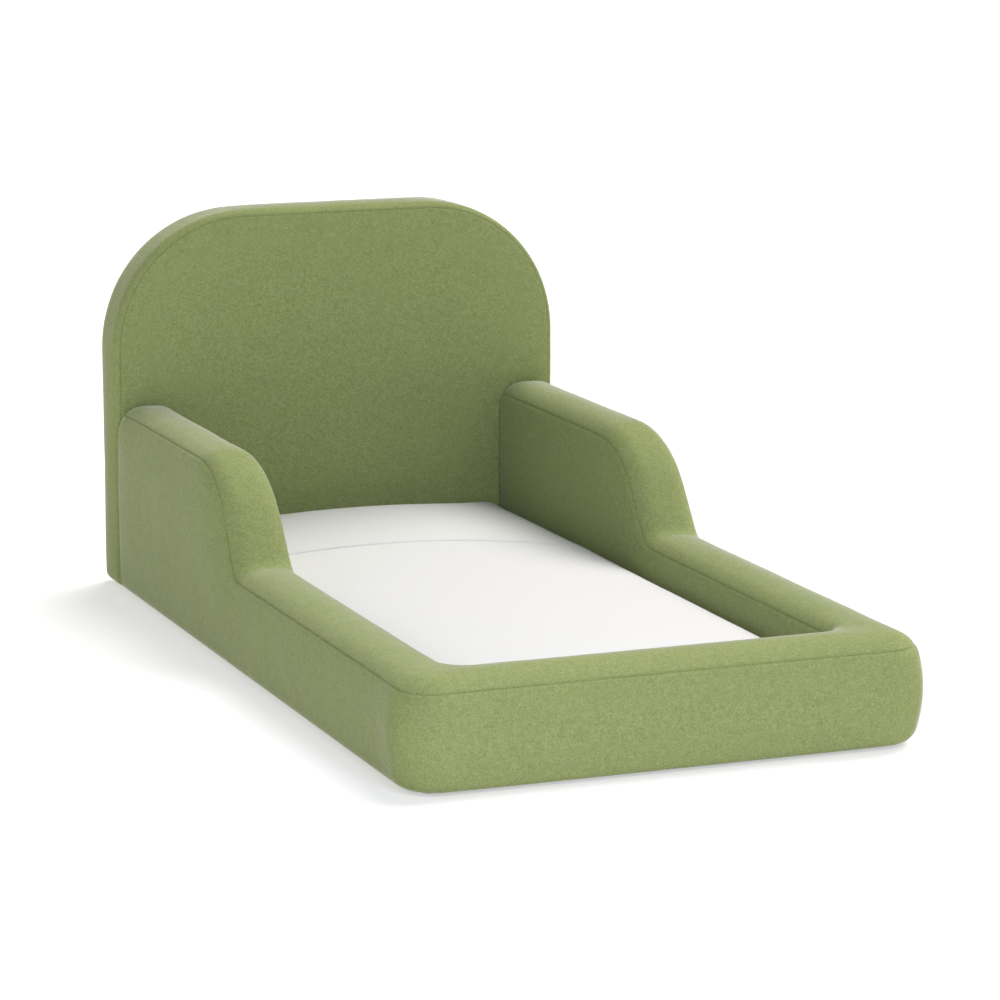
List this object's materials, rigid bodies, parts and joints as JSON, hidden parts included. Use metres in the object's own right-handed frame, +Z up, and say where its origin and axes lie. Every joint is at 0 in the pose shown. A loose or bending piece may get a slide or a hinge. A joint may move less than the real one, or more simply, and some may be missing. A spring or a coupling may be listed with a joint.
{
  "type": "toddler bed",
  "caption": "Low upholstered child's bed with a round-topped padded headboard, padded side arms stepping down to a rail round the foot, and a mattress on slats.",
  "frame": {"origin": "on the floor, under the middle of the bed", "axes": "+Y towards the headboard along the bed's length, +X to the right seen from the foot, +Z up"},
  "size_m": [0.97, 1.86, 0.78],
  "materials": {
    "plywood": "raw poplar plywood, sanded, unfinished, with visible ply edges",
    "pine_frame": "planed softwood, unfinished",
    "slat_pine": "planed pine with a thin clear matt lacquer",
    "foam": "open-cell polyurethane foam, cream",
    "mattress_foam": "open-cell polyurethane foam, white",
    "green_fabric": "short plush weave in sage green, matt, slightly heathered",
    "non_woven": "black spun-bonded polypropylene dust cover, embossed with fine dots",
    "mattress_fabric": "fine white jersey knit, matt",
    "bolt_steel": "zinc-plated steel, satin",
    "zinc_steel": "yellow zinc-plated steel",
    "nylon": "moulded nylon, off-white"
  },
  "bodies": {
    "bed_frame": {"headboard_front_panel": "plywood", "headboard_back_panel": "plywood", "headboard_left_post": "pine_frame", "headboard_right_post": "pine_frame", "headboard_top_rail": "pine_frame", "headboard_middle_rail": "pine_frame", "headboard_bottom_rail": "pine_frame", "headboard_front_foam": "foam", "headboard_edge_foam": "foam", "headboard_back_foam": "foam", "headboard_cover": "green_fabric", "headboard_dust_cover": "non_woven", "left_outer_board": "plywood", "left_inner_board": "plywood", "right_outer_board": "plywood", "right_inner_board": "plywood", "foot_outer_board": "plywood", "foot_inner_board": "plywood", "left_spacers": "pine_frame", "right_spacers": "pine_frame", "foot_spacers": "pine_frame", "left_end_block": "pine_frame", "right_end_block": "pine_frame", "left_corner_block": "pine_frame", "right_corner_block": "pine_frame", "left_top_skin": "plywood", "right_top_skin": "plywood", "foot_top_skin": "plywood", "left_foam": "foam", "right_foam": "foam", "foot_foam": "foam", "surround_cover": "green_fabric", "left_dust_cover": "non_woven", "right_dust_cover": "non_woven", "foot_dust_cover": "non_woven", "left_ledger": "slat_pine", "right_ledger": "slat_pine", "middle_beam": "slat_pine", "beam_feet": "slat_pine", "slat_01": "slat_pine", "slat_02": "slat_pine", "slat_03": "slat_pine", "slat_04": "slat_pine", "slat_05": "slat_pine", "slat_06": "slat_pine", "slat_07": "slat_pine", "slat_08": "slat_pine", "slat_09": "slat_pine", "slat_10": "slat_pine", "slat_11": "slat_pine", "bolts": "bolt_steel", "washers": "bolt_steel", "tee_nuts": "zinc_steel", "board_screws": "zinc_steel", "ledger_screws": "zinc_steel", "slat_screws": "zinc_steel", "glides": "nylon"},
    "mattress": {"mattress_core": "mattress_foam", "mattress_cover": "mattress_fabric"}
  },
  "joints": [
    {"name": "mattress_lift", "type": "slide", "parent": "bed_frame", "child": "mattress", "axis": [0, 0, 1], "range_m": [0, 0.85]}
  ]
}
